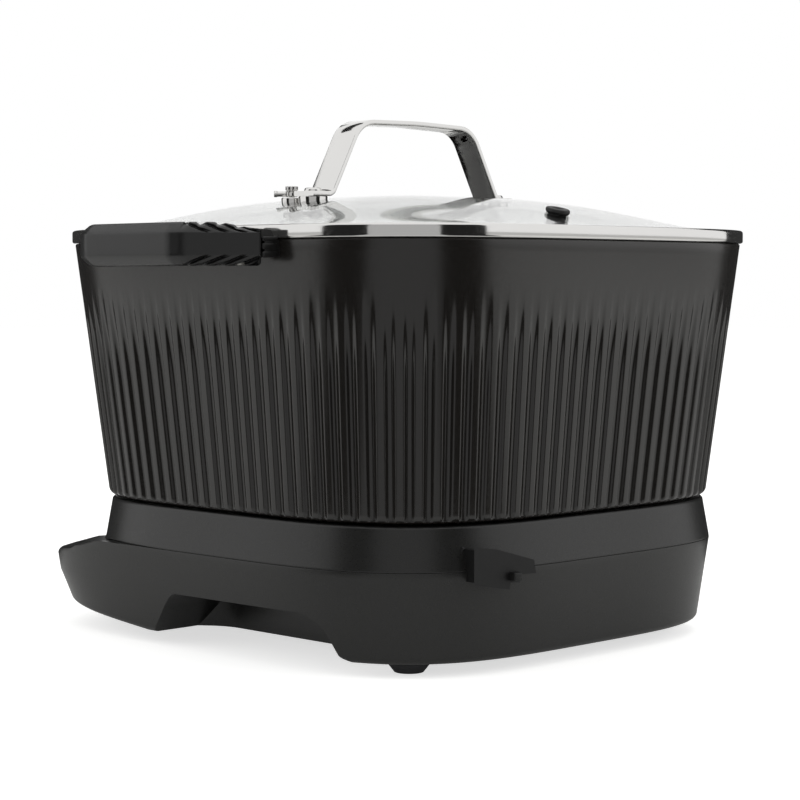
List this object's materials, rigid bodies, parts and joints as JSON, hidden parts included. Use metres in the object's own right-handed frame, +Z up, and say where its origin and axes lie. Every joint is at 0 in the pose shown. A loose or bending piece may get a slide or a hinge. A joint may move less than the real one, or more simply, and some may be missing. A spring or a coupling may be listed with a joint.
{
  "type": "multicooker",
  "caption": "Countertop multicooker: square fluted cooking pot with loop handles and a loose domed glass lid, on a low heated base with a sloping control panel.",
  "frame": {"origin": "on the ground under the middle of the whole object", "axes": "+X to the right of a person facing the control panel, -Y toward that person, +Z up"},
  "size_m": [0.354, 0.307, 0.2525],
  "materials": {
    "base_plastic": "fine grained satin",
    "foot_rubber": "matt",
    "zinc_steel": "zinc plated",
    "panel_gloss": "gloss",
    "display_glass": "smoked",
    "pale_plastic": "plain",
    "board_green": "solder mask",
    "relay_blue": "moulded",
    "core_steel": "laminated",
    "sleeve_cream": "braided glass fibre",
    "cast_aluminium": "machined",
    "element_steel": "oxidised",
    "bright_aluminium": "bright rolled",
    "spring_steel": "drawn wire",
    "knob_silver": "satin silver",
    "button_grey": "satin",
    "pot_coating": "satin ceramic coating",
    "handle_black": "satin",
    "lid_glass": "clear tempered",
    "bright_steel": "polished",
    "vent_black": "satin"
  },
  "bodies": {
    "base": {"upper_housing": "base_plastic", "lower_housing": "base_plastic", "bottom_cover": "base_plastic", "rubber_feet": "foot_rubber", "base_screws": "zinc_steel", "control_panel": "panel_gloss", "display_window": "display_glass", "display_module": "pale_plastic", "control_board": "board_green", "dial_encoder": "zinc_steel", "cord_inlet": "base_plastic", "terminal_block": "pale_plastic", "power_board": "board_green", "relay": "relay_blue", "transformer": "core_steel", "heater_leads": "sleeve_cream", "heating_plate": "cast_aluminium", "heating_element": "element_steel", "heat_reflector": "bright_aluminium", "plate_posts": "zinc_steel", "thermal_fuse": "sleeve_cream", "sensor_guide": "zinc_steel", "sensor_spring": "spring_steel"},
    "sensor": {"temperature_sensor": "cast_aluminium"},
    "dial": {"dial_knob": "knob_silver", "dial_shaft": "zinc_steel"},
    "power_button": {"power_button": "button_grey"},
    "mode_button": {"mode_button": "button_grey"},
    "timer_button": {"timer_button": "button_grey"},
    "start_button": {"start_button": "button_grey"},
    "pot": {"cooking_pot": "pot_coating", "heat_spreader": "cast_aluminium", "right_handle": "handle_black", "left_handle": "handle_black", "right_lugs": "handle_black", "left_lugs": "handle_black", "pot_handle_screws": "zinc_steel"},
    "lid": {"lid_glass": "lid_glass", "lid_band": "bright_steel", "lid_handle": "bright_steel", "handle_washers": "bright_steel", "lid_screws": "bright_steel", "steam_vent": "vent_black", "valve_seat": "bright_steel", "valve_nut": "bright_steel"},
    "valve": {"valve_cap": "bright_steel"}
  },
  "joints": [
    {"name": "pot_lift", "type": "slide", "parent": "base", "child": "pot", "axis": [0, 0, 1], "range_m": [0, 0.15]},
    {"name": "lid_lift", "type": "slide", "parent": "pot", "child": "lid", "axis": [0, 0, 1], "range_m": [0, 0.12]},
    {"name": "valve_turn", "type": "hinge", "parent": "lid", "child": "valve", "pos_m": [0.065, -0.0015, 0.2167], "axis": [0, 0, 1], "range_deg": [-90, 0]},
    {"name": "dial_turn", "type": "hinge", "parent": "base", "child": "dial", "pos_m": [0.058, -0.13446, 0.03592], "axis": [0, -0.284, 0.9588], "continuous": true},
    {"name": "sensor_press", "type": "slide", "parent": "base", "child": "sensor", "axis": [0, 0, 1], "range_m": [-0.002, 0], "stiffness_N_per_m": 400, "deforming": ["sensor_spring"]},
    {"name": "power_press", "type": "slide", "parent": "base", "child": "power_button", "axis": [0, 0.284, -0.9588], "range_m": [0, 0.001], "stiffness_N_per_m": 600},
    {"name": "mode_press", "type": "slide", "parent": "base", "child": "mode_button", "axis": [0, 0.284, -0.9588], "range_m": [0, 0.001], "stiffness_N_per_m": 600},
    {"name": "timer_press", "type": "slide", "parent": "base", "child": "timer_button", "axis": [0, 0.284, -0.9588], "range_m": [0, 0.001], "stiffness_N_per_m": 600},
    {"name": "start_press", "type": "slide", "parent": "base", "child": "start_button", "axis": [0, 0.284, -0.9588], "range_m": [0, 0.001], "stiffness_N_per_m": 600}
  ]
}
